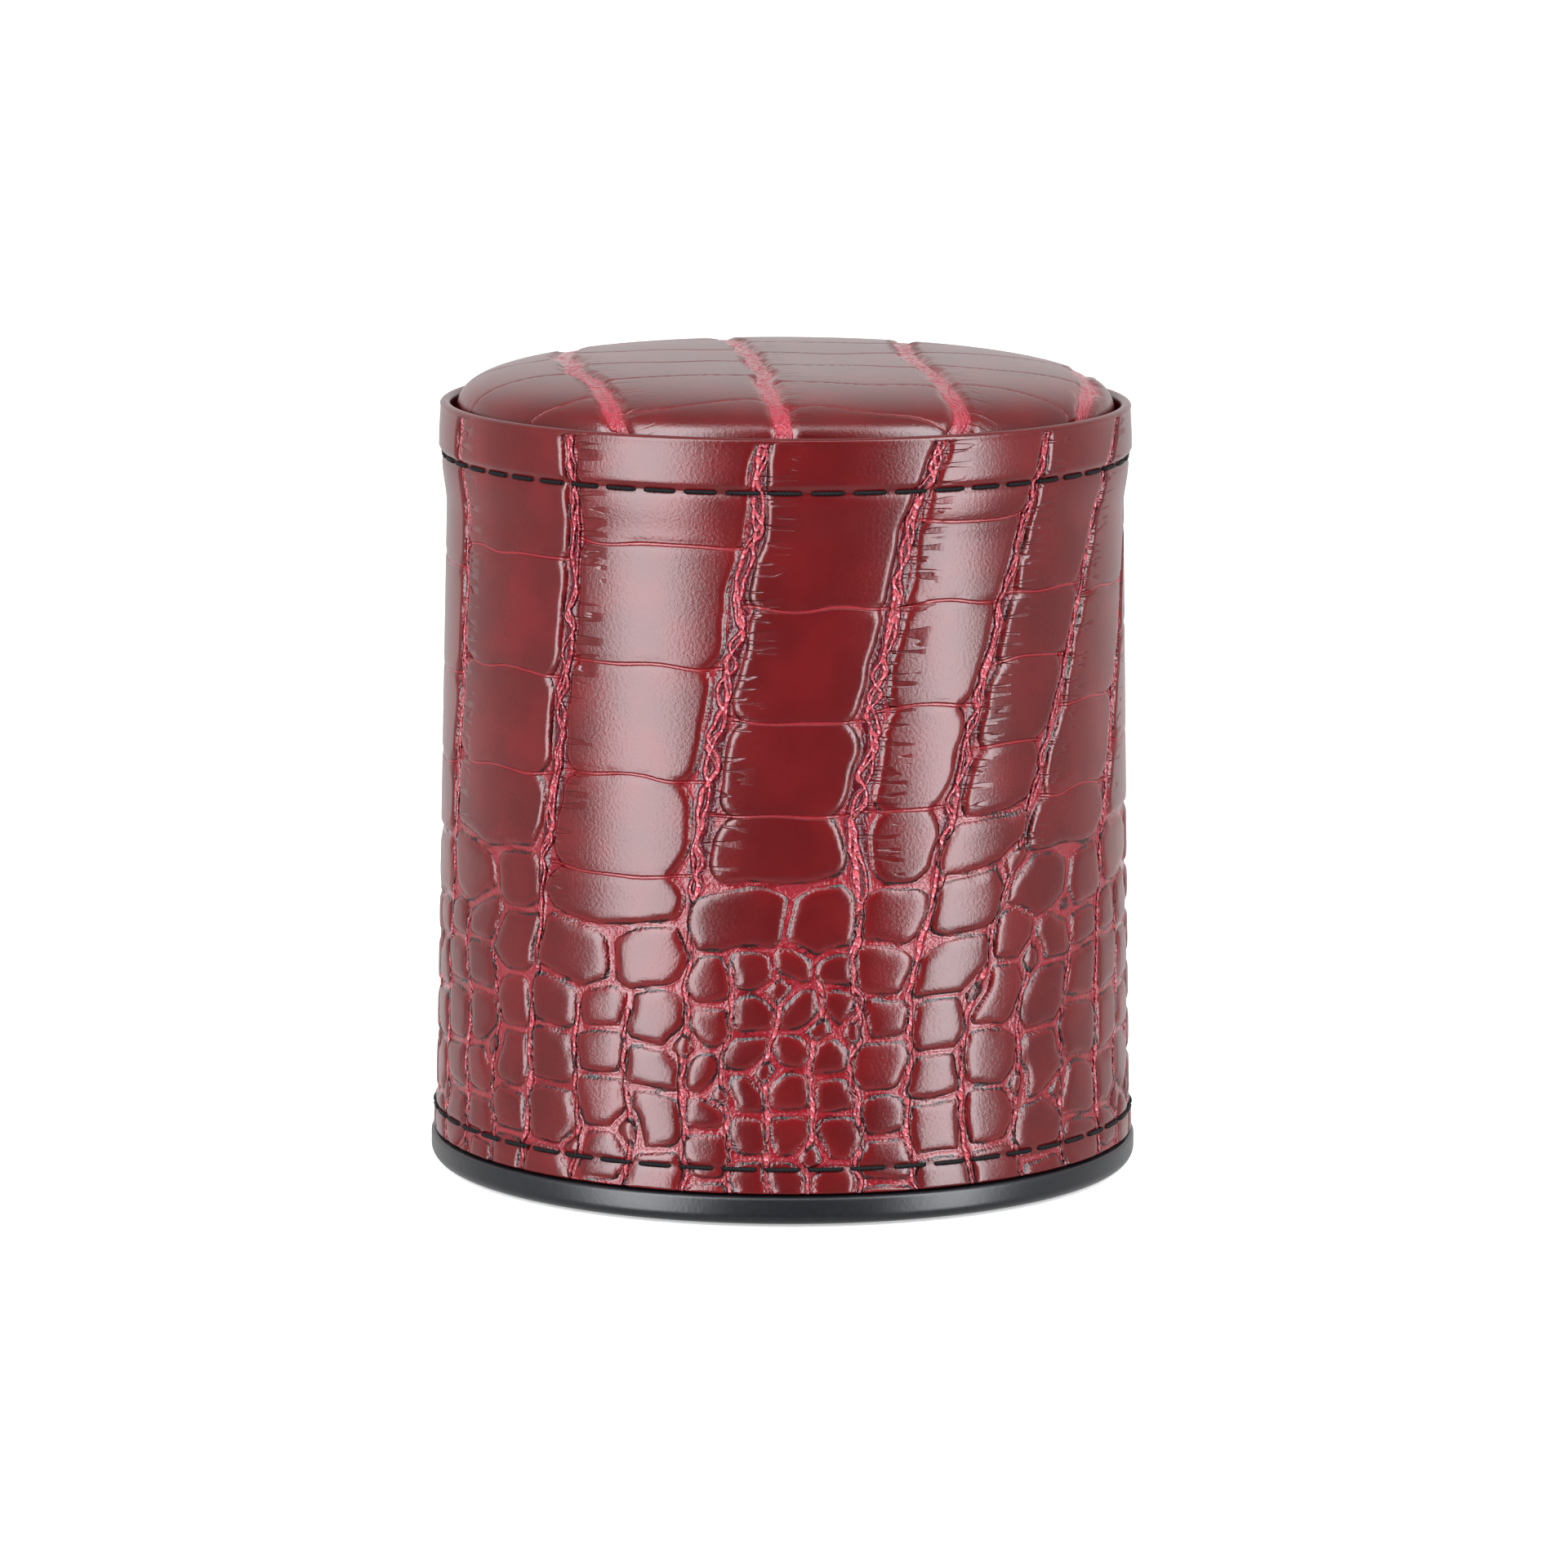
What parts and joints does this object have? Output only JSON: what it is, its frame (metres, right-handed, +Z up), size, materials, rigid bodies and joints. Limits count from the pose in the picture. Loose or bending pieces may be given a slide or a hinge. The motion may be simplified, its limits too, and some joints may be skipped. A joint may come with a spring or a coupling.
{
  "type": "dice cup",
  "caption": "Round leather dice cup with a velvet lining and a padded closed end, standing mouth down on a low tray whose raised ring locates it.",
  "frame": {"origin": "middle of the underside, on the plane of the tray's foot pad", "axes": "+Z points up from the table through the cup's closed end, along the cup's own axis; +Y points to the side with the back seam"},
  "size_m": [0.0926, 0.0926, 0.1059],
  "materials": {
    "embossed_leather": "crocodile-embossed, satin, deep red with lighter creases",
    "leatherboard": "raw fibre board",
    "card": "grey board",
    "cotton_tape": "woven tape",
    "velvet": "short black pile",
    "foam": "open foam",
    "thread": "waxed black thread",
    "tray_plastic": "satin moulded black",
    "foot_rubber": "matt sheet"
  },
  "bodies": {
    "tray": {"tray_foot": "foot_rubber", "tray_base": "tray_plastic", "tray_pad": "foam", "tray_velvet": "velvet"},
    "cup": {"wall_leather": "embossed_leather", "wall_core": "leatherboard", "hem_tape": "cotton_tape", "liner_backing": "card", "liner_wall": "velvet", "liner_end_board": "card", "liner_end": "velvet", "end_board": "card", "end_pad": "foam", "end_cover": "embossed_leather", "top_stitching": "thread", "mouth_stitching": "thread", "seam_stitching": "thread"}
  },
  "joints": [
    {"name": "cup_lift", "type": "slide", "parent": "tray", "child": "cup", "axis": [0, 0, 1], "range_m": [0, 0.12]}
  ]
}
